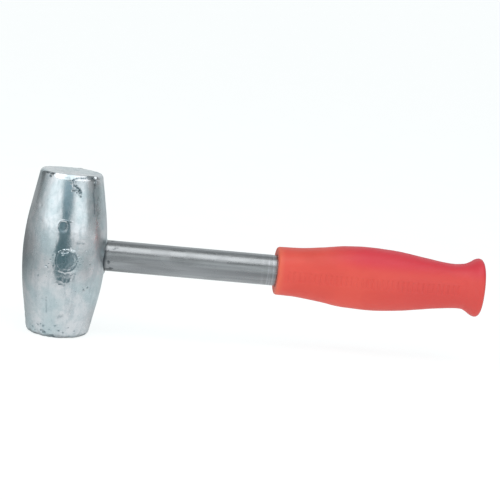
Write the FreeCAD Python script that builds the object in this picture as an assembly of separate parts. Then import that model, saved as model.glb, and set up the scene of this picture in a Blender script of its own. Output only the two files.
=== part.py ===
"""Cast soft-metal hammer on a steel tube handle with a moulded vinyl grip.

Millimetres. +Z runs along the barrel-shaped head, the origin is the centre of its lower
striking face, and the handle leaves the head along +X at half the head's height.
"""
import FreeCAD, Part
import math
import os

# Driving dimensions
OVERALL_LENGTH = 301.9         # back of the head to the butt of the grip
HEAD_LENGTH = 106.1            # striking face to striking face
HEAD_RADIUS = 26.8             # barrel at mid length
CROWN_RADIUS = 165.0           # long arc along the barrel's middle
CROWN_HALF_LENGTH = 30.0       # where that arc runs out into a straight taper
SHOULDER_RADIUS = 2.5          # rounding between the taper and a striking face
TUBE_DIAMETER = 20.0           # steel tube
TUBE_WALL = 1.65               # 16 gauge
GRIP_LENGTH = 137.5
GRIP_END_WALL = 3.5            # vinyl closing the butt behind the tube

# Marks that the mould leaves on the front of the barrel
GATE_RADIUS = 7.5              # round scar where the runner was broken off
GATE_DEPTH = 1.0
GATE_OFFSET = (1.1, -0.4)      # towards the handle, above the handle's axis
DIMPLE_RADIUS = 3.4
DIMPLE_DEPTH = 0.9
DIMPLE_OFFSET = (-2.2, 21.4)

# Lock between the tube and the casting, inside the head
METAL_BEHIND_TUBE = 12.8       # between the tube's blind end and the back of the head
PIN_RADIUS = 3.0
PIN_LENGTH = 36.0
PIN_SETBACK = 11.0             # from the tube's blind end to the pin's axis
DAM_LENGTH = 6.0
DAM_END = 24.0                 # outer face of the dam, just under the barrel's skin

# Outer shape of the grip: distance from its front edge, half height, half width
GRIP_SECTIONS = [
    (0.0, 15.6, 15.6),
    (12.7, 15.95, 15.75),
    (29.7, 17.85, 16.15),
    (45.7, 20.1, 16.65),
    (60.7, 20.75, 16.8),
    (78.7, 19.8, 16.3),
    (98.2, 17.15, 14.75),
    (112.2, 15.15, 13.5),
    (119.4, 14.6, 13.05),
    (125.0, 15.0, 13.4),
    (128.0, 16.2, 14.4),
    (132.9, 19.05, 17.05),
    (137.5, 19.9, 17.9),
]
GRIP_FRONT_ROUND = 1.5
GRIP_BUTT_ROUND = 3.0

# Derived
HANDLE_Z = HEAD_LENGTH / 2
TUBE_RADIUS = TUBE_DIAMETER / 2
BORE_RADIUS = TUBE_RADIUS - TUBE_WALL
TUBE_START = METAL_BEHIND_TUBE - HEAD_RADIUS
BUTT_X = OVERALL_LENGTH - HEAD_RADIUS
TUBE_END = BUTT_X - GRIP_END_WALL
GRIP_START = BUTT_X - GRIP_LENGTH
PIN_X = TUBE_START + PIN_SETBACK

X_AXIS = FreeCAD.Vector(1, 0, 0)
Y_AXIS = FreeCAD.Vector(0, 1, 0)
Z_AXIS = FreeCAD.Vector(0, 0, 1)


def rod(radius, x_start, x_end):
    """Solid round bar along the handle's axis."""
    base = FreeCAD.Vector(x_start, 0, HANDLE_Z)
    return Part.makeCylinder(radius, x_end - x_start, base, X_AXIS)


def crown_radius_at(height):
    """Radius of the barrel at a height above or below its middle, on the crown arc."""
    return HEAD_RADIUS - CROWN_RADIUS + math.sqrt(CROWN_RADIUS ** 2 - height ** 2)


def barrel():
    """Barrel turned about Z: long crown arc, straight tapers, rounded shoulders."""
    slope = math.asin(CROWN_HALF_LENGTH / CROWN_RADIUS)
    crown_edge = crown_radius_at(CROWN_HALF_LENGTH)
    face_edge = crown_edge - (HEAD_LENGTH / 2 - CROWN_HALF_LENGTH) * math.tan(slope)
    low_centre = FreeCAD.Vector(0, 0, 0)
    low_edge = FreeCAD.Vector(face_edge, 0, 0)
    crown_low = FreeCAD.Vector(crown_edge, 0, HANDLE_Z - CROWN_HALF_LENGTH)
    crown_middle = FreeCAD.Vector(HEAD_RADIUS, 0, HANDLE_Z)
    crown_high = FreeCAD.Vector(crown_edge, 0, HANDLE_Z + CROWN_HALF_LENGTH)
    high_edge = FreeCAD.Vector(face_edge, 0, HEAD_LENGTH)
    high_centre = FreeCAD.Vector(0, 0, HEAD_LENGTH)
    outline = Part.Wire([
        Part.makeLine(low_centre, low_edge),
        Part.makeLine(low_edge, crown_low),
        Part.Arc(crown_low, crown_middle, crown_high).toShape(),
        Part.makeLine(crown_high, high_edge),
        Part.makeLine(high_edge, high_centre),
        Part.makeLine(high_centre, low_centre),
    ])
    turned = Part.Face(outline).revolve(low_centre, Z_AXIS, 360)
    rims = [edge for edge in turned.Edges if is_rim(edge, face_edge)]
    return turned.makeFillet(SHOULDER_RADIUS, rims)


def is_rim(edge, radius):
    """True for the full circle where the barrel's side meets a striking face."""
    return isinstance(edge.Curve, Part.Circle) and abs(edge.Curve.Radius - radius) < 1e-3


def front_mark(radius, depth, offset):
    """Round tool that sinks a mark into the front (-Y) of the barrel."""
    across, height = offset
    floor_y = depth - crown_radius_at(height)
    base = FreeCAD.Vector(across, floor_y, HANDLE_Z + height)
    return Part.makeCylinder(radius, HEAD_RADIUS, base, -Y_AXIS)


def anchor_pin():
    """Cross pin that locks the tube in the casting."""
    base = FreeCAD.Vector(PIN_X, 0, HANDLE_Z - PIN_LENGTH / 2)
    return Part.makeCylinder(PIN_RADIUS, PIN_LENGTH, base, Z_AXIS)


def dam_plug():
    """Plug that keeps the molten metal from running down the tube."""
    return rod(BORE_RADIUS, DAM_END - DAM_LENGTH, DAM_END)


def handle_tube():
    """Drawn tube, cross-drilled for the pin near its blind end."""
    tube = rod(TUBE_RADIUS, TUBE_START, TUBE_END)
    tube = tube.cut(rod(BORE_RADIUS, TUBE_START - 1, TUBE_END + 1))
    return tube.cut(anchor_pin())


def head_casting():
    """Barrel cast round the tube and pin, filling the tube as far as the dam."""
    head = barrel()
    head = head.cut(front_mark(GATE_RADIUS, GATE_DEPTH, GATE_OFFSET))
    head = head.cut(front_mark(DIMPLE_RADIUS, DIMPLE_DEPTH, DIMPLE_OFFSET))
    head = head.cut(handle_tube())
    head = head.cut(anchor_pin())
    return head.cut(rod(BORE_RADIUS, DAM_END - DAM_LENGTH, 2 * HEAD_RADIUS))


def grip_section(distance, half_height, half_width):
    """Oval outline of the grip, standing across the handle's axis."""
    centre = FreeCAD.Vector(GRIP_START + distance, 0, HANDLE_Z)
    tall = centre + Z_AXIS * half_height
    wide = centre + Y_AXIS * half_width
    if half_height > half_width:
        oval = Part.Ellipse(tall, wide, centre)
    else:
        oval = Part.Circle(centre, X_AXIS, half_height)
    return Part.Wire(oval.toShape())


def grip():
    """Vinyl sleeve: palm swell, waist and a flared closed butt over the tube's end."""
    sleeve = Part.makeLoft([grip_section(*section) for section in GRIP_SECTIONS], True)
    ends = [(GRIP_START, GRIP_FRONT_ROUND), (BUTT_X, GRIP_BUTT_ROUND)]
    for x_end, radius in ends:
        rim = [edge for edge in sleeve.Edges
               if abs(edge.BoundBox.XMin - x_end) + abs(edge.BoundBox.XMax - x_end) < 1e-3]
        sleeve = sleeve.makeFillet(radius, rim)
    return sleeve.cut(rod(TUBE_RADIUS, GRIP_START - 1, TUBE_END))


def main():
    parts = {
        "head_casting": head_casting(),
        "handle_tube": handle_tube(),
        "anchor_pin": anchor_pin(),
        "dam_plug": dam_plug(),
        "grip": grip(),
    }
    os.makedirs("parts", exist_ok=True)
    for name, shape in parts.items():
        print(name, "valid", shape.isValid(), "solids", len(shape.Solids),
              "volume %.1f cm3" % (shape.Volume / 1000))
        shape.exportStep(f"parts/{name}.step")


main()
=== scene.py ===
"""Looks of the cast soft-metal hammer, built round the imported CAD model."""
import math

import bmesh
import bpy
import numpy as np
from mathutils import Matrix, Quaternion, Vector


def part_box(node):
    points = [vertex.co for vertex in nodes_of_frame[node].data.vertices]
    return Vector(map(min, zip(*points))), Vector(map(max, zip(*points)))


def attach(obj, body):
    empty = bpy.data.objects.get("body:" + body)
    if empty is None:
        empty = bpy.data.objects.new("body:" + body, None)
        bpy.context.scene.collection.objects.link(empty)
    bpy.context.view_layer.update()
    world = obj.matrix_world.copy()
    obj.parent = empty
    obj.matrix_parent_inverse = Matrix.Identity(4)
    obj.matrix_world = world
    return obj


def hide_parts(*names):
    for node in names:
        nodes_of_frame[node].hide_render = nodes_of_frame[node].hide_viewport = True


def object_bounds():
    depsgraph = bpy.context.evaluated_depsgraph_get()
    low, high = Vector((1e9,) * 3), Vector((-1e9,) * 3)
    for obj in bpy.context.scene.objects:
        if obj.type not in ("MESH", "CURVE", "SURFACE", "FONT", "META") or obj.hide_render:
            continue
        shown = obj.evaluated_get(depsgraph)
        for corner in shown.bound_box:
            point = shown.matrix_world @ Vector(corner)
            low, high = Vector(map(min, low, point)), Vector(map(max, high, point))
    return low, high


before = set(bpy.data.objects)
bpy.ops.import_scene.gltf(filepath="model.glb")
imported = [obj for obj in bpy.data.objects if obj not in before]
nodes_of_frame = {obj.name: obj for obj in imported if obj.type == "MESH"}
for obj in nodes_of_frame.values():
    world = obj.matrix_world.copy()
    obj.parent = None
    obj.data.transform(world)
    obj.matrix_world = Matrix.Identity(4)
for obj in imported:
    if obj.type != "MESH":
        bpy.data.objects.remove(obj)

cad_low, cad_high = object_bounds()

# Shapes are worked out in millimetres and handed to Blender in metres
MM = 0.001
rng = np.random.default_rng(11)


def box_mm(node):
    """Lowest and highest corner of a CAD node in millimetres."""
    return [np.array(corner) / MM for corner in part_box(node)]


# Sizes read from the frame
_, head_high = box_mm("head_casting")
tube_low, tube_high = box_mm("handle_tube")
pin_low, pin_high = box_mm("anchor_pin")
dam_low, dam_high = box_mm("dam_plug")
grip_low, grip_high = box_mm("grip")
HEAD_LENGTH = head_high[2]
HEAD_RADIUS = head_high[1]
TUBE_RADIUS = tube_high[1]
BORE_RADIUS = dam_high[1]
PIN_RADIUS = pin_high[1]
HANDLE_Z = HEAD_LENGTH / 2

# Barrel outline: the CAD's crown arc and straight tapers, with its own shoulders
CROWN_RADIUS = 165.0
CROWN_HALF_LENGTH = 30.0
TOP_SHOULDER = 2.2
BOTTOM_SHOULDER = 3.4
HEAD_STEP = 0.36              # spacing of the casting's mesh, up it and round its front
BACK_STEP = 0.62              # and round its back
FRONT_ARC = 52                # degrees to each side of -Y that count as front
FACE_STEP = 0.8               # spacing of the rings on the flat faces
SLIVER = 0.004                # edges shorter than this are folded away after the cuts

# Struck marks on the two rims
BEVEL_DIP = 39                # degrees, how far the upper bevel faces up
BEVEL_EDGE = 17.9             # how far out on the upper face the bevel starts
BEVEL_LIFT = 3.5              # how far it is lifted clear of the casting where it ends
WORN_TURN, WORN_DIP = -42, 48  # degrees round from -Y and down, where the lower lip is worn
WORN_DEPTH = 0.45

# Grip outline: distance from its front edge, half height, half width
GRIP_SECTIONS = np.array([
    (0.0, 15.6, 15.6),
    (12.7, 15.95, 15.75),
    (29.7, 17.85, 16.15),
    (45.7, 20.1, 16.65),
    (60.7, 20.75, 16.8),
    (78.7, 19.8, 16.3),
    (98.2, 17.15, 14.75),
    (112.2, 15.15, 13.5),
    (119.4, 14.6, 13.05),
    (125.0, 15.0, 13.4),
    (128.0, 16.2, 14.4),
    (132.9, 19.05, 17.05),
    (137.5, 19.9, 17.9),
])


# ---------------------------------------------------------------- mesh helpers

def mesh_object(name, points, faces, smooth_angle=40):
    """Object from points in millimetres, smooth apart from edges sharper than the angle."""
    mesh = bpy.data.meshes.new(name)
    mesh.from_pydata((points * MM).tolist(), [], faces)
    mesh.validate()
    mesh.shade_smooth()
    mesh.set_sharp_from_angle(angle=math.radians(smooth_angle))
    thing = bpy.data.objects.new(name, mesh)
    bpy.context.scene.collection.objects.link(thing)
    return thing


def ring_faces(rings, around):
    """Quads joining closed rings of equal size, first ring to last."""
    row, col = np.meshgrid(np.arange(rings - 1), np.arange(around), indexing="ij")
    nxt = (col + 1) % around
    quads = np.stack([row * around + col, row * around + nxt,
                      (row + 1) * around + nxt, (row + 1) * around + col], axis=-1)
    return quads.reshape(-1, 4).tolist()


def fan_faces(pole, first, around, flip):
    """Triangles closing a ring onto a pole point."""
    fans = []
    for k in range(around):
        a, b = first + k, first + (k + 1) % around
        fans.append((pole, a, b) if flip else (pole, b, a))
    return fans


def store_grime_and_shade(thing, values):
    """Stores a strength per point that the casting's material reads as caught grime and painted
    shade.
    """
    layer = thing.data.attributes.new("grime_and_shade", "FLOAT", "POINT")
    layer.data.foreach_set("value", values)


def even_steps(outline, step):
    """An outline resampled at about the given spacing, ends kept."""
    spans = np.linalg.norm(np.diff(outline, axis=0), axis=1)
    run = np.concatenate([[0], np.cumsum(spans)])
    places = np.linspace(0, run[-1], max(2, round(run[-1] / step)) + 1)
    return np.stack([np.interp(places, run, outline[:, k]) for k in range(2)], axis=1)


def ripple(points, wavelength, waves=28):
    """Smooth random field of about unit height with one typical wavelength."""
    directions = rng.normal(size=(waves, 3))
    directions /= np.linalg.norm(directions, axis=1, keepdims=True)
    lengths = wavelength * rng.uniform(0.7, 1.5, waves)
    phases = rng.uniform(0, 2 * np.pi, waves)
    angles = points @ (directions * (2 * np.pi / lengths)[:, None]).T + phases
    return np.sin(angles).sum(axis=1) / math.sqrt(waves / 2)


def bell(distance, width):
    """Round-topped falloff from 1 at no distance to nothing past about two widths."""
    return np.exp(-(distance / width) ** 2)


def ramp(value, low, high):
    """Smooth step from 0 at low to 1 at high."""
    t = np.clip((value - low) / (high - low), 0, 1)
    return t * t * (3 - 2 * t)


def path_distance(across, up, path):
    """Distance from each point to a bent line on the unrolled barrel."""
    nearest = np.full(len(across), 1e9)
    for (a0, u0), (a1, u1) in zip(path, path[1:]):
        length = (a1 - a0) ** 2 + (u1 - u0) ** 2
        t = np.clip(((across - a0) * (a1 - a0) + (up - u0) * (u1 - u0)) / length, 0, 1)
        gap = np.hypot(across - a0 - t * (a1 - a0), up - u0 - t * (u1 - u0))
        nearest = np.minimum(nearest, gap)
    return nearest


# ---------------------------------------------------------------- head casting

def shoulder(face_edge, tilt, radius, steps=10):
    """Arc from a flat face at z = 0 to the tapered side, as (radius, z) points."""
    centre = face_edge + radius * math.tan(tilt) - radius / math.cos(tilt)
    angles = np.linspace(-math.pi / 2, -tilt, steps)
    return np.stack([centre + radius * np.cos(angles), radius + radius * np.sin(angles)], 1)


def barrel_outline():
    """(radius, z) points from the centre of the lower face to the centre of the upper."""
    tilt = math.asin(CROWN_HALF_LENGTH / CROWN_RADIUS)
    crown_edge = HEAD_RADIUS - CROWN_RADIUS * (1 - math.cos(tilt))
    face_edge = crown_edge - (HANDLE_Z - CROWN_HALF_LENGTH) * math.tan(tilt)
    low = shoulder(face_edge, tilt, BOTTOM_SHOULDER)
    high = shoulder(face_edge, tilt, TOP_SHOULDER)[::-1]
    high[:, 1] = HEAD_LENGTH - high[:, 1]
    along = np.linspace(-tilt, tilt, 60)
    crown = np.stack([HEAD_RADIUS - CROWN_RADIUS * (1 - np.cos(along)),
                      HANDLE_Z + CROWN_RADIUS * np.sin(along)], 1)
    side = even_steps(np.concatenate([low, crown, high]), HEAD_STEP)
    low_face = even_steps(np.array([(0, 0), low[0]]), FACE_STEP)
    high_face = even_steps(np.array([high[-1], (0, HEAD_LENGTH)]), FACE_STEP)
    return np.concatenate([low_face[:-1], side, high_face[1:]])


# Casting marks on the front, as (distance round the barrel from -Y, height over the handle)
GATE = (1.1, -0.4)
GATE_RADIUS = 7.5
DIMPLE = (-2.9, 21.4)
DIMPLE_RADIUS = 3.5
GATE_CRESCENT = [(5.2, 2.4), (5.6, -1.0), (4.6, -4.2)]
DIMPLE_TAIL = [(-3.4, 25.1), (-1.0, 25.0), (2.0, 24.7)]
FOLDS = [
    # path, width, depth, darkness of the oxide caught in it
    ([(10.1, 52.5), (8.0, 52.0), (4.2, 51.8), (2.1, 51.2), (0.8, 49.4), (0.9, 47.0),
      (2.1, 46.3), (4.9, 44.9), (6.3, 42.7)], 0.50, 0.50, 1.0),
    ([(1.2, 50.2), (0.7, 49.0)], 0.95, 0.70, 1.0),
    ([(0.7, 43.6), (2.8, 44.3), (4.7, 43.9), (5.6, 42.7), (3.5, 42.8)], 0.40, 0.30, 0.9),
    ([(4.4, 42.0), (5.2, 41.3), (6.1, 40.6)], 0.45, 0.35, 0.9),
    ([(-3.7, 51.4), (-2.0, 50.9)], 0.70, 0.20, 0.6),
    ([(10.1, 52.5), (14.1, 52.0), (15.5, 51.5), (17.0, 50.3), (16.6, 48.5)], 0.75, 0.30, 0.8),
    ([(16.6, 48.5), (16.4, 46.5), (15.3, 42.4), (16.5, 37.7), (17.3, 33.0), (17.6, 29.9)],
     0.60, 0.02, 0.7),
    ([(-19.0, 52.2), (-15.0, 52.3), (-11.6, 52.5)], 0.35, 0.20, 0.8),
    ([(-15.8, 50.6), (-15.0, 50.5)], 0.55, 0.35, 0.9),
    ([(-0.7, 23.0), (-0.4, 21.0), (-1.0, 19.4)], 0.80, 0.00, 0.55),
    ([(-4.8, 3.9), (-3.2, 5.0), (-1.6, 5.8)], 0.45, 0.30, 1.0),
    ([(0.2, 6.2), (2.6, 5.8)], 0.35, 0.20, 0.8),
    ([(6.5, 11.4), (11.5, 11.1)], 0.60, 0.00, 0.50),
    ([(-3.8, -14.5), (-1.4, -15.2), (0.7, -15.9)], 0.80, 0.08, 0.5),
    ([(-9.8, -25.7), (-8.7, -35.8)], 0.45, 0.04, 0.35),
    ([(7.5, -30.1), (5.4, -35.6)], 1.00, 0.04, 0.25),
    ([(-0.5, -38.1), (1.7, -37.2)], 0.90, 0.05, 0.40),
    ([(-11.4, -49.0), (-8.6, -50.0)], 0.60, 0.60, 0.8),
    ([(-4.6, -51.4), (-2.0, -52.0)], 0.60, 0.40, 0.7),
    ([(19.0, -51.6), (22.0, -51.2)], 0.60, 0.30, 0.6),
]
PITS = [
    # round the barrel, height, radius, depth
    (-9.2, -0.7, 0.45, 0.30), (-10.2, -3.5, 0.40, 0.35), (-11.9, -5.0, 0.60, 0.45),
    (-7.7, 2.2, 0.40, 0.30), (-6.5, -4.1, 0.40, 0.30), (-10.6, -5.9, 0.50, 0.40),
    (8.6, 2.7, 0.45, 0.25), (8.3, -0.5, 0.45, 0.25), (10.6, 1.3, 0.40, 0.25),
    (10.0, -2.3, 0.45, 0.25), (12.0, -0.5, 0.40, 0.20), (8.8, -3.8, 0.40, 0.20),
    (14.4, -18.9, 0.60, 0.50), (17.3, -17.4, 0.50, 0.45), (-17.0, -12.3, 0.50, 0.25),
    (-18.6, -47.8, 0.70, 0.50), (-14.2, -45.6, 0.60, 0.45), (-12.0, -44.4, 0.50, 0.40),
    (-10.0, -45.7, 0.60, 0.35), (-8.9, -49.8, 0.70, 0.55), (-16.2, -49.6, 0.50, 0.40),
    (-2.1, -44.5, 0.70, 0.25), (3.4, -48.8, 0.60, 0.30), (6.4, -45.3, 0.50, 0.25),
    (-5.6, -47.2, 0.60, 0.30), (0.4, -47.4, 0.55, 0.25), (11.0, -47.6, 0.50, 0.25),
]


def gate_scar(across, up):
    """Flattened round scar with a sunk floor, a raised lip and a torn upper edge."""
    da, du = across - GATE[0], up - GATE[1]
    distance = np.hypot(da, du)
    angle = np.degrees(np.arctan2(du, da))
    inside = 1 - ramp(distance, GATE_RADIUS - 1.2, GATE_RADIUS)
    t = np.clip(da / GATE_RADIUS, -1, 1)
    fall = 1 - 0.6 * np.clip(du / GATE_RADIUS, -1, 1) ** 2
    flattened = 0.05 + 0.50 * (1 - t * t) * (1 - 0.33 * t) * fall
    uneven = 0.5 + 0.5 * np.sin(np.radians(angle) * 2 + 2.4) * np.sin(np.radians(angle) * 5)
    lip = 0.045 * uneven * bell(distance - GATE_RADIUS, 0.5)
    torn = ramp(angle, 50, 66) * (1 - ramp(angle, 130, 146))
    teeth = 0.85 + 0.15 * np.sin(np.radians(angle) * 11)
    burr = 0.6 * torn * teeth * bell(distance - GATE_RADIUS + 0.3, 0.38)
    tear = -0.7 * ramp(angle, 76, 90) * (1 - ramp(angle, 122, 134))
    tear = tear * bell(distance - GATE_RADIUS + 1.9, 0.55)
    crescent = 0.03 * bell(path_distance(across, up, GATE_CRESCENT), 0.5)
    flake = 0.4 * bell(np.hypot(across + 1.8, (up - 3.7) * 1.6), 0.9)
    return lip + burr + tear + crescent + flake - inside * flattened


def dimple(across, up):
    """Small hollow, steep at its top and left and fading out to the right and below."""
    da, du = across - DIMPLE[0], up - DIMPLE[1]
    distance = np.hypot(da, du)
    steep = np.clip(0.5 + 0.7 * (du - da) / np.maximum(distance, 0.1), 0, 1)
    inner = 2.2 + 0.6 * steep
    outer = DIMPLE_RADIUS + 1.3 * (1 - steep)
    t = np.clip((distance - inner) / (outer - inner), 0, 1)
    floor = (1 - t * t * (3 - 2 * t)) * np.clip(0.42 - 0.03 * da * da, 0.1, 1)
    crest = 0.20 * np.clip((du - da) / DIMPLE_RADIUS - 0.3, 0, 1)
    tail = 0.22 * bell(path_distance(across, up, DIMPLE_TAIL), 0.4)
    return crest * bell(distance - DIMPLE_RADIUS, 0.4) + tail - floor


def flat_pad(across, up):
    """Shallow flattened patch under the gate scar."""
    wavy = 0.5 * np.sin(across * 0.9) + 0.3 * np.sin(across * 2.3 + 1)
    wide = ramp(across, -4.9, -3.2) * (1 - ramp(across, 6.5, 9.4))
    tall = ramp(up + wavy, -14.6, -11.6) * (1 - ramp(up, -8.6, -5.4))
    return -0.42 * wide * tall * np.clip(1 - ((across - 2.2) / 7.2) ** 2, 0, 1)


def handle_collar(points):
    """Uneven lip of metal drawn up round the tube where it enters the barrel."""
    off_axis = np.hypot(points[:, 1], points[:, 2] - HANDLE_Z)
    turn = np.arctan2(points[:, 2] - HANDLE_Z, points[:, 1])
    height = 0.35 + 0.2 * np.sin(3 * turn + 0.6) + 0.12 * np.sin(7 * turn)
    return np.where(points[:, 0] > 0, height * bell(off_axis - TUBE_RADIUS - 1.0, 0.8), 0)


def parting_line(points):
    """Faint flash where the two halves of the mould met, in the plane x = 0."""
    back = ramp(points[:, 1], -12, 2)
    wander = 0.35 * np.sin(points[:, 2] * 0.21) + 0.2 * np.sin(points[:, 2] * 0.53 + 1)
    return 0.16 * back * bell(points[:, 0] - wander, 0.45)


def random_dents(points):
    """Small handling dents and gas pits over the rest of the casting."""
    total = np.zeros(len(points))
    for _ in range(70):
        k = rng.integers(len(points))
        radius = rng.uniform(0.5, 1.6)
        depth = rng.uniform(0.06, 0.22)
        if points[k, 1] < -8 and rng.random() < 0.75:
            continue
        total -= depth * bell(np.linalg.norm(points - points[k], axis=1), radius)
    return total


def worn_lip(points):
    """Struck facet on the lower rim, towards the front left."""
    turn, dip = math.radians(WORN_TURN), math.radians(WORN_DIP)
    facing = np.array([math.sin(turn) * math.cos(dip), -math.cos(turn) * math.cos(dip),
                       -math.sin(dip)])
    reach = points @ facing
    over = np.maximum(reach - (reach.max() - WORN_DEPTH), 0)
    return points - over[:, None] * facing


def turns():
    """Angles round the barrel from -Y, closer together on the front."""
    arc = math.radians(FRONT_ARC)
    front = np.linspace(-arc, arc, round(2 * arc * HEAD_RADIUS / HEAD_STEP), endpoint=False)
    rest = 2 * (math.pi - arc)
    back = arc + np.linspace(0, rest, round(rest * HEAD_RADIUS / BACK_STEP), endpoint=False)
    back[back > math.pi] -= 2 * math.pi
    return np.concatenate([front, back])


def head_points(outline, turn):
    """The barrel's surface, ring by ring without the poles, and the grime and painted shade on it.
    """
    rings = outline[1:-1]
    around = len(turn)
    tangent = np.gradient(outline, axis=0)[1:-1]
    tangent /= np.linalg.norm(tangent, axis=1, keepdims=True)
    radius = np.repeat(rings[:, 0], around)
    z = np.repeat(rings[:, 1], around)
    psi = np.tile(turn, len(rings))
    out = np.repeat(tangent[:, 1], around)
    rise = -np.repeat(tangent[:, 0], around)
    points = np.stack([radius * np.sin(psi), -radius * np.cos(psi), z], 1)
    normals = np.stack([out * np.sin(psi), -out * np.cos(psi), rise], 1)
    across, up = radius * psi, z - HANDLE_Z
    on_side = ramp(out, 0.15, 0.5)
    drawn = points * (1, 1, 0.35)
    shift = 0.10 * ripple(drawn, 24) + 0.024 * ripple(drawn, 7) + 0.005 * ripple(points, 3)
    rim = bell(np.abs(up) - HANDLE_Z + 1.0, 1.6)
    shift += 0.10 * rim * ripple(points, 5.0)
    foot = 1 - ramp(up, -48, -38)
    shift += foot * (0.05 + 0.07 * (across < -3)) * ripple(points, 3.4)
    by_gate = 1 - ramp(np.hypot(across - GATE[0] - 1, up - GATE[1]), 7, 12)
    shift += by_gate * (0.02 * ripple(points, 2.2) + 0.012 * ripple(points, 1.3))
    marks = gate_scar(across, up) + dimple(across, up) + flat_pad(across, up)
    front = on_side * (points[:, 1] < 0) > 0
    torn = np.where(front, ripple(points, 1.6), 0)
    flecks = np.where(front, ripple(points, 3.2), 0)
    grime_and_shade = np.zeros(len(points))
    for path, width, depth, darkness in FOLDS:
        gap = path_distance(across, up, path) + 0.3 * width * torn
        broken = np.clip(0.8 + 0.35 * flecks, 0.5, 1.1)
        marks -= depth * broken * bell(gap, width)
        grime_and_shade = np.maximum(grime_and_shade, darkness * np.clip(broken + 0.2, 0, 1) * bell(gap, 1.1 * width))
    for place, height, size, depth in PITS:
        gap = np.hypot(across - place, (up - height) * 1.3) * (1 + 0.25 * torn)
        marks -= 0.45 * depth * bell(gap, 1.2 * size)
        grime_and_shade = np.maximum(grime_and_shade, 0.9 * bell(gap, size))
    shift += on_side * marks + handle_collar(points) + parting_line(points)
    shift += random_dents(points)
    shift = np.where(on_side > 0.02, shift, np.minimum(shift, 0.0))
    # Painted shade: the casting is painted dark round the tube's mouth, more so under the tube,
    # where that crevice lies in shade.
    off_axis = np.hypot(points[:, 1], points[:, 2] - HANDLE_Z)
    entry_shade = bell(np.maximum(off_axis - TUBE_RADIUS - 0.5, 0), 0.9)
    below = (points[:, 2] - HANDLE_Z) / TUBE_RADIUS
    entry_shade *= (points[:, 0] > 0) * np.clip(0.6 - 0.5 * below, 0.3, 1)
    return points + shift[:, None] * normals, np.maximum(np.where(front, grime_and_shade, 0), entry_shade)


def top_bevel(points):
    """Struck bevel round the front of the upper rim, broad enough to catch the light."""
    psi = np.arctan2(points[:, 0], -points[:, 1])
    dip = math.radians(BEVEL_DIP)
    reach = np.hypot(points[:, 0], points[:, 1]) * math.cos(dip) + points[:, 2] * math.sin(dip)
    limit = BEVEL_EDGE * math.cos(dip) + HEAD_LENGTH * math.sin(dip) + 0.05 * ripple(points, 7)
    limit += BEVEL_LIFT * (ramp(psi, 0.75, 1.2) + ramp(-psi, 0.50, 0.85))
    over = np.maximum(reach - limit, 0)
    facing = np.stack([np.sin(psi) * math.cos(dip), -np.cos(psi) * math.cos(dip),
                       np.full(len(psi), math.sin(dip))], 1)
    return points - over[:, None] * facing


def struck_faces(points):
    """Upper face slightly out of square, higher at the front; nothing under the lower one."""
    lean = 0.6 - 0.031 * (points[:, 1] + 17.5) - 0.015 * (points[:, 0] + 17.5)
    points[:, 2] += lean * ramp(points[:, 2], HEAD_LENGTH - 12, HEAD_LENGTH - 3)
    points[:, 2] = np.maximum(points[:, 2], 0)
    return points


def tube_cutter():
    """What the tube takes out of the casting, loose at the mouth, with the bore past the dam."""
    blind, dam = tube_low[0], dam_low[0]
    clear = TUBE_RADIUS + 0.02
    mouth = HEAD_RADIUS
    outline = [(blind, BORE_RADIUS), (blind, clear), (mouth - 5, clear),
               (mouth - 2.5, clear + 0.18), (mouth + 6, clear + 0.5)]
    around = 128
    turn = np.linspace(0, 2 * math.pi, around, endpoint=False)
    loose = ramp(-np.sin(turn), 0.0, 0.7) * ramp(-np.cos(turn), -0.3, 0.6)
    rings = []
    for x, radius in outline:
        spread = radius + (loose if x > mouth - 4 else 0)
        rings.append(np.stack([np.full(around, x), spread * np.cos(turn),
                               HANDLE_Z + spread * np.sin(turn)], 1))
    far, near = (mouth + 6, 0, HANDLE_Z), (dam, 0, HANDLE_Z)
    inner = np.stack([np.full(around, dam), BORE_RADIUS * np.cos(turn),
                      HANDLE_Z + BORE_RADIUS * np.sin(turn)], 1)
    rings.append(inner)
    points = np.concatenate(rings + [[near], [far]])
    count = len(outline)
    faces = ring_faces(count, around)
    near_pole, far_pole = (count + 1) * around, (count + 1) * around + 1
    last, first_inner = (count - 1) * around, count * around
    for k in range(around):
        nxt = (k + 1) % around
        faces.append((last + k, last + nxt, far_pole))
        faces.append((first_inner + nxt, first_inner + k, near_pole))
        faces.append((first_inner + k, first_inner + nxt, nxt, k))
    cutter = mesh_object("tube_cutter", points, faces)
    # Painted shade: every face this cut leaves in the casting, the bore and the loose gap at its
    # mouth, is painted fully dark.
    store_grime_and_shade(cutter, np.ones(len(points)))
    return cutter


def pin_cutter():
    """Round bar the size of the anchor pin."""
    around = 48
    turn = np.linspace(0, 2 * math.pi, around, endpoint=False)
    centre_x = (pin_low[0] + pin_high[0]) / 2
    rings = [np.stack([centre_x + PIN_RADIUS * np.cos(turn), PIN_RADIUS * np.sin(turn),
                       np.full(around, z)], 1) for z in (pin_low[2], pin_high[2])]
    points = np.concatenate(rings)
    faces = ring_faces(2, around)
    faces.append(list(range(around))[::-1])
    faces.append(list(range(around, 2 * around)))
    return mesh_object("pin_cutter", points, faces)


def cut_away(target, cutter):
    """Boolean difference, applied, with the cutter removed."""
    cut = target.modifiers.new("cut", "BOOLEAN")
    cut.operation = "DIFFERENCE"
    cut.solver = "EXACT"
    cut.object = cutter
    graph = bpy.context.evaluated_depsgraph_get()
    done = bpy.data.meshes.new_from_object(target.evaluated_get(graph))
    target.modifiers.clear()
    target.data = done
    bpy.data.objects.remove(cutter)


def drop_slivers(target):
    """Removes the folded slivers that the cuts leave."""
    solid = bmesh.new()
    solid.from_mesh(target.data)
    bmesh.ops.dissolve_degenerate(solid, dist=SLIVER * MM, edges=solid.edges)
    solid.to_mesh(target.data)
    solid.free()


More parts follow.
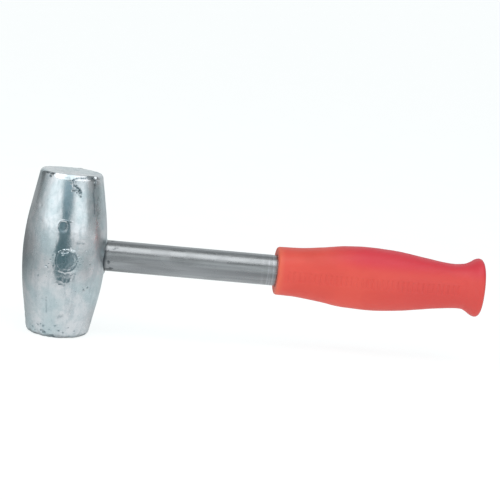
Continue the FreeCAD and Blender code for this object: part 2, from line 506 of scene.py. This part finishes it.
def build_head():
    outline = barrel_outline()
    turn = turns()
    around = len(turn)
    points, grime_and_shade = head_points(outline, turn)
    points = top_bevel(worn_lip(points))
    rings = len(outline) - 2
    low_pole, high_pole = rings * around, rings * around + 1
    points = struck_faces(np.concatenate([points, [(0, 0, 0)], [(0, 0, HEAD_LENGTH)]]))
    faces = ring_faces(rings, around)
    faces += fan_faces(low_pole, 0, around, False)
    faces += fan_faces(high_pole, (rings - 1) * around, around, True)
    head = mesh_object("cast_head", points, faces, 60)
    store_grime_and_shade(head, np.append(grime_and_shade, [0, 0]))
    cut_away(head, tube_cutter())
    cut_away(head, pin_cutter())
    drop_slivers(head)
    head.data.shade_smooth()
    head.data.set_sharp_from_angle(angle=math.radians(60))
    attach(head, "root")
    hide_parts("head_casting")
    return head


# ---------------------------------------------------------------- grip

GRIP_START = grip_low[0]
GRIP_END = grip_high[0]
GRIP_AROUND = 288
GRIP_STEP = 0.5
FRONT_ROUND = 1.6
BUTT_ROUND = 3.2
BUTT_CROWN = 0.7               # bulge of the butt's end face
FLANGE_LIFT = 0.5              # the flange sits a little above the handle's axis
BAR_HEIGHT, BAR_WIDTH, BAR_DEPTH, BAR_PITCH = 6.4, 1.0, 0.4, 3.4
BAR_ZONE = (7.5, 126.0)       # where the row of bars starts and ends


def smooth_curve(x, knots, values):
    """Smooth curve through the knots (monotone between them, so it never overshoots)."""
    widths = np.diff(knots)
    slopes = np.diff(values) / widths
    bends = np.zeros(len(knots))
    bends[0], bends[-1] = slopes[0], slopes[-1]
    for k in range(1, len(knots) - 1):
        if slopes[k - 1] * slopes[k] > 0:
            w1 = 2 * widths[k] + widths[k - 1]
            w2 = widths[k] + 2 * widths[k - 1]
            bends[k] = (w1 + w2) / (w1 / slopes[k - 1] + w2 / slopes[k])
    k = np.clip(np.searchsorted(knots, x) - 1, 0, len(widths) - 1)
    t = (x - knots[k]) / widths[k]
    h00, h10 = (1 + 2 * t) * (1 - t) ** 2, t * (1 - t) ** 2
    h01, h11 = t * t * (3 - 2 * t), t * t * (t - 1)
    return (h00 * values[k] + h10 * widths[k] * bends[k]
            + h01 * values[k + 1] + h11 * widths[k] * bends[k + 1])


def grip_rings():
    """Rings as (distance, inset from the section's outline), from bore mouth to butt centre."""
    length = GRIP_END - GRIP_START
    quarter = np.linspace(0, math.pi / 2, 9)
    front = [(FRONT_ROUND * (1 - math.sin(a)), FRONT_ROUND * (1 - math.cos(a)))
             for a in quarter[::-1]]
    steps = round((length - FRONT_ROUND - BUTT_ROUND) / GRIP_STEP)
    body = [(x, 0.0) for x in np.linspace(FRONT_ROUND, length - BUTT_CROWN - BUTT_ROUND, steps)]
    butt = [(length - BUTT_CROWN - BUTT_ROUND * (1 - math.sin(a)), BUTT_ROUND * (1 - math.cos(a)))
            for a in quarter]
    return front[:-1] + body + butt[1:]


def bar_marks(distance, around_mm, facing):
    """Row of plain upright bars sunk into the side, all alike."""
    start, end = BAR_ZONE
    count = int((end - start) / BAR_PITCH)
    slot = np.round((distance - start) / BAR_PITCH)
    inside = (slot >= 0) & (slot < count) & (facing < 0)
    off = np.abs(distance - start - slot * BAR_PITCH)
    shape = (1 - ramp(off, BAR_WIDTH * 0.3, BAR_WIDTH * 0.8))
    shape = shape * (1 - ramp(np.abs(around_mm), BAR_HEIGHT / 2 - 0.4, BAR_HEIGHT / 2 + 0.2))
    return np.where(inside, -BAR_DEPTH * shape, 0)


def build_grip():
    rings = np.array(grip_rings())
    distance, inset = rings[:, 0], rings[:, 1]
    knots = GRIP_SECTIONS[:, 0]
    half_height = smooth_curve(distance, knots, GRIP_SECTIONS[:, 1]) - inset
    half_width = smooth_curve(distance, knots, GRIP_SECTIONS[:, 2]) - inset
    turn = np.linspace(0, 2 * math.pi, GRIP_AROUND, endpoint=False)
    power = 2 / 2.15
    y = np.sign(np.cos(turn)) * np.abs(np.cos(turn)) ** power
    z = np.sign(np.sin(turn)) * np.abs(np.sin(turn)) ** power
    points = np.stack([
        np.repeat(GRIP_START + distance, GRIP_AROUND),
        (half_width[:, None] * y).ravel(),
        HANDLE_Z + (half_height[:, None] * z).ravel()], 1)
    points[:, 2] += FLANGE_LIFT * ramp(points[:, 0] - GRIP_START, 114, 128)
    outward = np.stack([np.zeros(len(points)), points[:, 1], points[:, 2] - HANDLE_Z], 1)
    outward /= np.linalg.norm(outward, axis=1, keepdims=True)
    reach = points[:, 0] - GRIP_START
    shift = 0.06 * ripple(points, 30) + 0.015 * ripple(points, 6)
    shift += bar_marks(reach, points[:, 2] - HANDLE_Z, points[:, 1])
    shift += 0.12 * bell(points[:, 1], 0.35)
    points += shift[:, None] * outward
    rows = len(rings)

    # Close the front down to the tube, line the bore, and crown the butt
    mouth = TUBE_RADIUS + 0.15
    bore = [(GRIP_START + 0.9, mouth - 0.1), (GRIP_START + 0.3, mouth + 0.25),
            (GRIP_START, mouth + 1.0), (GRIP_START, mouth + 2.4)]
    bore.insert(0, (tube_high[0], mouth - 0.1))
    lining = np.concatenate([
        np.stack([np.full(GRIP_AROUND, x), radius * np.cos(turn),
                  HANDLE_Z + radius * np.sin(turn)], 1) for x, radius in bore])
    shares = np.linspace(1, 0, 12)[1:-1]
    last = points[-GRIP_AROUND:]
    axis_end = np.array([GRIP_END, 0, HANDLE_Z])
    crown = []
    for share in shares:
        ring = axis_end + (last - [GRIP_END, 0, HANDLE_Z]) * share
        ring[:, 0] = GRIP_END - BUTT_CROWN * share ** 2
        crown.append(ring)
    every = np.concatenate([lining, points] + crown)
    total_rows = len(bore) + rows + len(crown)
    deep_pole, butt_pole = len(every), len(every) + 1
    every = np.concatenate([every, [(tube_high[0], 0, HANDLE_Z)], [axis_end]])
    faces = ring_faces(total_rows, GRIP_AROUND)
    faces += fan_faces(deep_pole, 0, GRIP_AROUND, False)
    faces += fan_faces(butt_pole, (total_rows - 1) * GRIP_AROUND, GRIP_AROUND, True)
    grip = mesh_object("grip_sleeve", every, faces, 50)
    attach(grip, "root")
    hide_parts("grip")
    return grip


# ---------------------------------------------------------------- materials

class Nodes:
    """Small wrapper that adds shader nodes with their inputs in one call."""

    def __init__(self, tree):
        self.tree = tree
        tree.nodes.clear()

    def add(self, kind, settings=None, **inputs):
        node = self.tree.nodes.new(kind)
        for key, value in (settings or {}).items():
            setattr(node, key, value)
        for key, value in inputs.items():
            socket = self.socket(node, key)
            if isinstance(value, bpy.types.NodeSocket):
                self.tree.links.new(value, socket)
            else:
                socket.default_value = value
        return node

    @staticmethod
    def socket(node, key):
        """Input by name with _ for spaces, or by number as in_0."""
        if key.startswith("in_"):
            return node.inputs[int(key[3:])]
        return node.inputs[key.replace("_", " ")]

    def towards(self, ray, azimuth, elevation):
        """Cosine between a direction and the given one."""
        return self.add("ShaderNodeVectorMath", {"operation": "DOT_PRODUCT"},
                        in_0=ray, in_1=direction(azimuth, elevation)).outputs["Value"]

    def noise(self, vector, scale, detail=3.0, roughness=0.55):
        return self.add("ShaderNodeTexNoise", Vector=vector, Scale=scale, Detail=detail,
                        Roughness=roughness).outputs["Fac"]

    def spread(self, value, low, high, start=0.0, end=1.0):
        """Value from low..high mapped to start..end, clamped."""
        node = self.add("ShaderNodeMapRange", {"interpolation_type": "SMOOTHSTEP"},
                        Value=value, From_Min=low, From_Max=high, To_Min=start, To_Max=end)
        return node.outputs["Result"]

    def blend(self, factor, first, second):
        node = self.add("ShaderNodeMix", {"data_type": "RGBA"}, Factor=factor)
        for socket, value in ((node.inputs[6], first), (node.inputs[7], second)):
            if isinstance(value, bpy.types.NodeSocket):
                self.tree.links.new(value, socket)
            else:
                socket.default_value = (*value, 1)
        return node.outputs[2]

    def math(self, operation, first, second):
        node = self.add("ShaderNodeMath", {"operation": operation}, in_0=first, in_1=second)
        return node.outputs[0]

    def bump(self, height, distance, normal=None):
        node = self.add("ShaderNodeBump", Strength=1.0, Distance=distance, Height=height)
        if normal is not None:
            self.tree.links.new(normal, node.inputs["Normal"])
        return node.outputs["Normal"]

    def place(self, scale=(1, 1, 1)):
        """Object coordinates, stretched."""
        coords = self.add("ShaderNodeTexCoord").outputs["Object"]
        return self.add("ShaderNodeMapping", Vector=coords, Scale=scale).outputs["Vector"]


def material(name):
    made = bpy.data.materials.new(name)
    made.use_nodes = True
    nodes = Nodes(made.node_tree)
    surface = nodes.add("ShaderNodeBsdfPrincipled")
    output = nodes.add("ShaderNodeOutputMaterial")
    made.node_tree.links.new(surface.outputs[0], output.inputs[0])
    return made, nodes, surface


def connect(nodes, surface, **inputs):
    for key, value in inputs.items():
        nodes.tree.links.new(value, surface.inputs[key.replace("_", " ")])


OXIDE = (0.38, 0.46, 0.50)
BRUSHED_FROM, BRUSHED_TO = 0.012, 0.022    # metres along the handle: rougher towards it


def cast_metal():
    """Bright as-cast lead alloy: mirror-like skin with clouded, slightly oxidised patches."""
    made, nodes, surface = material("cast_metal")
    place = nodes.place()
    clouds = nodes.noise(place, 48, 4)
    patches = nodes.noise(place, 170, 3)
    specks = nodes.noise(place, 900, 2)
    runs = nodes.noise(nodes.place((1, 1, 0.16)), 230, 3, 0.6)
    tone = nodes.blend(nodes.spread(clouds, 0.38, 0.62), (0.53, 0.62, 0.65), (0.69, 0.715, 0.74))
    oxide = nodes.noise(place, 300, 4, 0.6)
    tone = nodes.blend(nodes.spread(oxide, 0.50, 0.70, 0, 0.28), tone, OXIDE)
    tone = nodes.blend(nodes.spread(runs, 0.50, 0.66, 0, 0.32), tone, OXIDE)
    tone = nodes.blend(nodes.spread(patches, 0.50, 0.62, 0, 0.25), tone, (0.42, 0.52, 0.55))
    dull = nodes.spread(specks, 0.68, 0.74)
    tone = nodes.blend(nodes.math("MULTIPLY", dull, 0.4), tone, (0.27, 0.30, 0.32))
    # Oxide caught in the folds and pits, and painted shade round the tube's mouth and in its bore,
    # darken the metal here.
    grime_and_shade = nodes.add("ShaderNodeAttribute", {"attribute_name": "grime_and_shade"}).outputs["Fac"]
    tone = nodes.blend(nodes.math("MULTIPLY", grime_and_shade, 0.9), tone, (0.07, 0.13, 0.16))
    surface.inputs["Metallic"].default_value = 1.0
    gloss = nodes.spread(patches, 0.3, 0.7, 0.12, 0.23)
    gloss = nodes.math("ADD", gloss, nodes.spread(runs, 0.45, 0.65, 0, 0.07))
    gloss = nodes.math("ADD", gloss, nodes.math("MULTIPLY", dull, 0.2))
    gloss = nodes.math("ADD", gloss, nodes.math("MULTIPLY", grime_and_shade, 0.15))
    spot = nodes.add("ShaderNodeSeparateXYZ", Vector=place)
    brushed = nodes.spread(spot.outputs["X"], BRUSHED_FROM, BRUSHED_TO, 0, 0.16)
    gloss = nodes.math("ADD", gloss, brushed)
    lumps = nodes.bump(nodes.noise(nodes.place((1, 1, 0.5)), 200, 2), 0.00010)
    skin = nodes.bump(nodes.noise(place, 1500, 3, 0.7), 0.00002, lumps)
    connect(nodes, surface, Base_Color=tone, Roughness=gloss, Normal=skin)
    return made


SOOT_REACH = 14                            # millimetres of tube sooted beyond the barrel
# Painted shade: a dark band on the tube where it comes out of the head.
EMERGE_SHADE_FROM, EMERGE_SHADE_TO = 0.0252, 0.0276          # metres along the handle: dark where it emerges


def drawn_steel(name, light, dark, gloss_low, gloss_high, along=(6, 420, 420), used=False):
    """Bare drawn steel with fine streaks along its length and a few stains."""
    made, nodes, surface = material(name)
    streaks = nodes.noise(nodes.place(along), 1.0, 4, 0.65)
    stains = nodes.noise(nodes.place(tuple(k ** 0.5 * 7 for k in along)), 1.0, 4, 0.6)
    smears = nodes.noise(nodes.place(), 85, 3)
    tone = nodes.blend(nodes.spread(streaks, 0.35, 0.65), dark, light)
    tone = nodes.blend(nodes.spread(stains, 0.48, 0.72, 0, 0.5), tone,
                       tuple(0.62 * c for c in dark))
    if used:
        spot = nodes.add("ShaderNodeSeparateXYZ", Vector=nodes.place())
        soot = nodes.spread(spot.outputs["X"], HEAD_RADIUS * MM,
                            (HEAD_RADIUS + SOOT_REACH) * MM, 1, 0)
        blots = nodes.spread(nodes.noise(nodes.place(), 240, 4), 0.54, 0.64, 0, 0.8)
        tone = nodes.blend(nodes.math("MULTIPLY", soot, blots), tone, (0.05, 0.06, 0.07))
        # Painted shade: the tube is painted nearly black just where it leaves the casting.
        rim = nodes.spread(spot.outputs["X"], EMERGE_SHADE_FROM, EMERGE_SHADE_TO, 0.95, 0)
        tone = nodes.blend(rim, tone, (0.06, 0.07, 0.08))
        rubbed = nodes.spread(spot.outputs["X"], (GRIP_START - 14) * MM, (GRIP_START - 3) * MM)
        rings = nodes.spread(nodes.noise(nodes.place((620, 20, 20)), 1.0, 2), 0.5, 0.62, 0, 0.4)
        tone = nodes.blend(nodes.math("MULTIPLY", rubbed, rings), tone, (0.62, 0.64, 0.68))
    surface.inputs["Metallic"].default_value = 1.0
    gloss = nodes.spread(streaks, 0.3, 0.7, gloss_low, gloss_high)
    gloss = nodes.math("ADD", gloss, nodes.spread(smears, 0.45, 0.65, 0, 0.10))
    lines = nodes.bump(streaks, 0.00006)
    connect(nodes, surface, Base_Color=tone, Roughness=gloss, Normal=lines)
    return made


def soft_vinyl():
    """Orange-red moulded vinyl, with painted shade that makes it darker and pinker along its top,
    and a painted highlight that makes it paler at its front edge.
    """
    made, nodes, surface = material("grip_vinyl")
    place = nodes.place()
    mottle = nodes.noise(place, 45, 3)
    tone = nodes.blend(nodes.spread(mottle, 0.3, 0.7), (0.69, 0.070, 0.050), (0.74, 0.085, 0.059))
    spot = nodes.add("ShaderNodeSeparateXYZ", Vector=place)
    top_shade = nodes.spread(spot.outputs["Z"], (HANDLE_Z + 6) * MM, (HANDLE_Z + 15) * MM)
    aft = nodes.spread(spot.outputs["X"], (GRIP_START + 22) * MM, (GRIP_START + 60) * MM)
    rear = nodes.spread(spot.outputs["X"], (GRIP_START + 45) * MM, (GRIP_START + 100) * MM, 0, 0.7)
    tone = nodes.blend(rear, tone, (0.66, 0.060, 0.054))
    # Painted shade along the top: the upper part, aft of the front, is painted a darker, pinker
    # red.
    tone = nodes.blend(nodes.math("MULTIPLY", top_shade, aft), tone, (0.66, 0.036, 0.056))
    # Painted highlight: the rounded front edge is painted a paler orange.
    front_highlight = nodes.spread(spot.outputs["X"], (GRIP_START + 0.5) * MM, (GRIP_START + 5) * MM, 0.55, 0)
    tone = nodes.blend(front_highlight, tone, (0.80, 0.16, 0.085))
    scuffs = nodes.noise(nodes.place((60, 300, 300)), 1.0, 5, 0.7)
    grain = nodes.noise(place, 1400, 2)
    gloss = nodes.spread(scuffs, 0.3, 0.7, 0.40, 0.52)
    surface.inputs["IOR"].default_value = 1.5
    surface.inputs["Subsurface Weight"].default_value = 0.12
    surface.inputs["Subsurface Radius"].default_value = (1.0, 0.25, 0.15)
    surface.inputs["Subsurface Scale"].default_value = 0.002
    pebble = nodes.bump(grain, 0.00004)
    connect(nodes, surface, Base_Color=tone, Roughness=gloss, Normal=pebble)
    return made


def dress(thing, look):
    """Gives an object its one material."""
    thing.data.materials.clear()
    thing.data.materials.append(look)


# ---------------------------------------------------------------- stage and light

FLOOR_HALF = 12.0

# Glow of the floor: first the painted reflection it gives the head, behind and before the head,
# close to it and far off, then the glow that lights the grip's matt vinyl, and the glow as seen
# directly
FLOOR_NEAR = (0.34, 0.70)
FLOOR_FAR = (0.04, 0.50)
FLOOR_BOUNCE = 0.80
FLOOR_SEEN = 0.84

# Card that darkens the middle of the head, as (across, height) in metres
FLAG_GAP = 0.060
FLAG_OUTLINE = [(-0.028, 0.017), (0.024, 0.0155), (0.032, 0.024), (0.032, 0.042),
                (0.020, 0.062), (0.010, 0.074), (0.010, 0.100), (0.018, 0.122),
                (-0.030, 0.122), (-0.026, 0.100), (-0.026, 0.080), (-0.034, 0.064),
                (-0.037, 0.046), (-0.034, 0.022)]

TENT_LEVEL = 0.21
WALLS = [
    # azimuth, elevation, inner and outer half angle, strength
    (-49, 8, 10, 76, 0.68),
    (-49, 8, 0, 30, 0.50),
    (34, 8, 8, 34, 0.88),
    (52, 8, 0, 46, 0.28),
    (168, 12, 8, 62, 0.60),
    (178, 78, 12, 50, 0.12),
]


def flat_piece(name, corners):
    """One flat face through corners given in metres."""
    mesh = bpy.data.meshes.new(name)
    mesh.from_pydata(corners, [], [tuple(range(len(corners)))])
    piece = bpy.data.objects.new(name, mesh)
    bpy.context.scene.collection.objects.link(piece)
    return piece


def pale_floor():
    """Pale paper that glows; its mirror image, a painted reflection, is brightest before the head
    and fades to the sides.
    """
    half = FLOOR_HALF
    floor = flat_piece("floor", [(-half, -half, 0), (half, -half, 0), (half, half, 0),
                                 (-half, half, 0)])
    made, nodes, surface = material("floor_paper_and_glow")
    place = nodes.place()
    reach = nodes.add("ShaderNodeVectorMath", {"operation": "LENGTH"},
                      in_0=place).outputs["Value"]
    towards = nodes.add("ShaderNodeVectorMath", {"operation": "NORMALIZE"},
                        in_0=place).outputs["Vector"]
    ahead = nodes.towards(towards, 8, 0)
    near = nodes.spread(ahead, -0.9, 0.9, *FLOOR_NEAR)
    far = nodes.spread(ahead, -0.9, 0.9, *FLOOR_FAR)
    painted_reflection = nodes.add("ShaderNodeMix", Factor=nodes.spread(reach, 0.05, 0.22),
                     in_2=near, in_3=far).outputs[0]
    spot = nodes.add("ShaderNodeSeparateXYZ", Vector=place)
    beside = nodes.spread(spot.outputs["X"], 0.08, 0.15, 0, 0.28)
    before = nodes.spread(spot.outputs["Y"], 0.0, 0.04, 1, 0)
    painted_reflection = nodes.math("MULTIPLY", painted_reflection,
                      nodes.math("SUBTRACT", 1.0, nodes.math("MULTIPLY", beside, before)))
    painted_reflection = nodes.math("ADD", painted_reflection, nodes.spread(reach, 0.32, 0.8, 0, 0.22))
    astern = nodes.towards(towards, 122, 0)
    flank = nodes.math("MULTIPLY", nodes.spread(astern, 0.5, 0.95, 0, 0.30),
                       nodes.spread(reach, 0.05, 0.09))
    painted_reflection = nodes.math("ADD", painted_reflection, flank)
    # Painted shadow: the mirrored glow goes dark close round the head's foot.
    painted_reflection = nodes.math("MULTIPLY", painted_reflection, nodes.spread(reach, 0.014, 0.026))
    ray = nodes.add("ShaderNodeLightPath")
    lit = nodes.add("ShaderNodeMix", Factor=ray.outputs["Is Diffuse Ray"],
                    in_2=painted_reflection, in_3=FLOOR_BOUNCE).outputs[0]
    glow = nodes.add("ShaderNodeMix", Factor=ray.outputs["Is Camera Ray"],
                     in_2=lit, in_3=FLOOR_SEEN).outputs[0]
    grain = nodes.noise(place, 30, 3)
    tone = nodes.blend(nodes.spread(grain, 0.3, 0.7), (0.245, 0.25, 0.25), (0.26, 0.26, 0.265))
    connect(nodes, surface, Base_Color=tone, Emission_Strength=glow)
    surface.inputs["Roughness"].default_value = 0.9
    surface.inputs["Specular IOR Level"].default_value = 0.1
    surface.inputs["Emission Color"].default_value = (0.97, 1.0, 1.0, 1)
    dress(floor, made)


def camera_flag(turn):
    """Dark card before the head that only mirrors in it, broad at the foot, narrow above."""
    out = Vector((math.sin(turn), -math.cos(turn), 0))
    side = Vector((math.cos(turn), math.sin(turn), 0))
    centre = out * (HEAD_RADIUS * MM + FLAG_GAP)
    corners = [centre + side * across + Vector((0, 0, z)) for across, z in FLAG_OUTLINE]
    flag = flat_piece("flag", [tuple(corner) for corner in corners])
    made, nodes, surface = material("flag_reflection_card")
    spot = nodes.add("ShaderNodeSeparateXYZ", Vector=nodes.place())
    # Painted reflection: the card is paler low on the right and pale blue high up, tones the head
    # mirrors from it.
    right = nodes.spread(spot.outputs["X"], -0.008, 0.022)
    low = nodes.spread(spot.outputs["Z"], 0.052, 0.068, 1, 0)
    tone = nodes.blend(nodes.math("MULTIPLY", right, low), (0.19, 0.30, 0.33), (0.48, 0.55, 0.58))
    tone = nodes.blend(nodes.spread(spot.outputs["Z"], 0.066, 0.086), tone, (0.31, 0.45, 0.50))
    tone = nodes.blend(nodes.spread(spot.outputs["Z"], 0.092, 0.110), tone, (0.64, 0.82, 0.90))
    connect(nodes, surface, Base_Color=tone)
    surface.inputs["Roughness"].default_value = 1.0
    dress(flag, made)
    for ray in ("camera", "diffuse", "transmission", "volume_scatter", "shadow"):
        setattr(flag, "visible_" + ray, False)


def direction(azimuth, elevation):
    """Unit vector; azimuth 0 is towards -Y and 90 towards +X."""
    a, e = math.radians(azimuth), math.radians(elevation)
    return (math.sin(a) * math.cos(e), -math.cos(a) * math.cos(e), math.sin(e))


def studio_world():
    """Light tent: dim all round, brighter walls left, right and behind; white to the camera."""
    world = bpy.data.worlds.new("tent")
    bpy.context.scene.world = world
    world.use_nodes = True
    nodes = Nodes(world.node_tree)
    ray = nodes.add("ShaderNodeTexCoord").outputs["Generated"]
    total = None
    for azimuth, elevation, inner, outer, strength in WALLS:
        facing = nodes.towards(ray, azimuth, elevation)
        glow = nodes.spread(facing, math.cos(math.radians(outer)),
                            math.cos(math.radians(inner)), 0, strength)
        total = glow if total is None else nodes.math("ADD", total, glow)
    total = nodes.math("ADD", total, TENT_LEVEL)
    tent = nodes.add("ShaderNodeBackground", Color=(0.95, 0.99, 1.0, 1), Strength=total)
    plain = nodes.add("ShaderNodeBackground", Color=(1, 1, 1, 1), Strength=1.0)
    seen = nodes.add("ShaderNodeLightPath").outputs["Is Camera Ray"]
    both = nodes.add("ShaderNodeMixShader", in_0=seen, in_1=tent.outputs[0],
                     in_2=plain.outputs[0])
    output = nodes.add("ShaderNodeOutputWorld")
    world.node_tree.links.new(both.outputs[0], output.inputs[0])


def softbox(name, azimuth, elevation, distance, size, power, mirrored=True):
    """Area light aimed at the middle of the object, with or without a mirror image."""
    middle = (cad_low + cad_high) / 2
    light = bpy.data.lights.new(name, "AREA")
    light.shape = "RECTANGLE"
    light.size, light.size_y = size
    light.energy = power
    lamp = bpy.data.objects.new(name, light)
    towards = Vector(direction(azimuth, elevation))
    lamp.location = middle + towards * distance
    lamp.rotation_mode = "QUATERNION"
    lamp.rotation_quaternion = towards.to_track_quat("Z", "Y")
    lamp.visible_glossy = mirrored
    bpy.context.scene.collection.objects.link(lamp)


def place_camera(azimuth, elevation, roll, distance, aim_shift, lens):
    """Camera aimed near the object's middle; roll turns it about its own line of sight."""
    middle = (cad_low + cad_high) / 2
    back = Vector(direction(azimuth, elevation))
    camera = bpy.data.objects.new("camera", bpy.data.cameras.new("camera"))
    camera.data.sensor_width = 36
    camera.data.lens = lens
    camera.location = middle + Vector(aim_shift) * MM + back * distance
    camera.rotation_mode = "QUATERNION"
    level = back.to_track_quat("Z", "Y")
    camera.rotation_quaternion = level @ Quaternion((0, 0, 1), math.radians(roll))
    bpy.context.scene.collection.objects.link(camera)
    bpy.context.scene.camera = camera
    return camera


# ---------------------------------------------------------------- the scene

camera = place_camera(azimuth=-6.95, elevation=11.2, roll=6.53, distance=1.3004,
                      aim_shift=(-4.7, 0.0, 12.0), lens=144)
bpy.context.scene.view_settings.view_transform = "Standard"
studio_world()
softbox("overhead_softbox", 0, 69, 0.9, (1.5, 0.66), 4.3)
softbox("fill_softbox", 14, 24, 1.4, (1.4, 1.0), 2.2, mirrored=False)
pale_floor()
camera_flag(math.atan2(camera.location.x, -camera.location.y))

dress(build_head(), cast_metal())
dress(build_grip(), soft_vinyl())
dress(nodes_of_frame["handle_tube"],
      drawn_steel("tube_steel", (0.42, 0.44, 0.45), (0.32, 0.335, 0.35), 0.18, 0.32, used=True))
dress(nodes_of_frame["anchor_pin"],
      drawn_steel("pin_steel", (0.50, 0.50, 0.50), (0.36, 0.36, 0.37), 0.30, 0.42,
                  (420, 420, 20)))
dress(nodes_of_frame["dam_plug"],
      drawn_steel("plug_steel", (0.45, 0.45, 0.45), (0.32, 0.32, 0.33), 0.40, 0.55,
                  (60, 240, 240)))
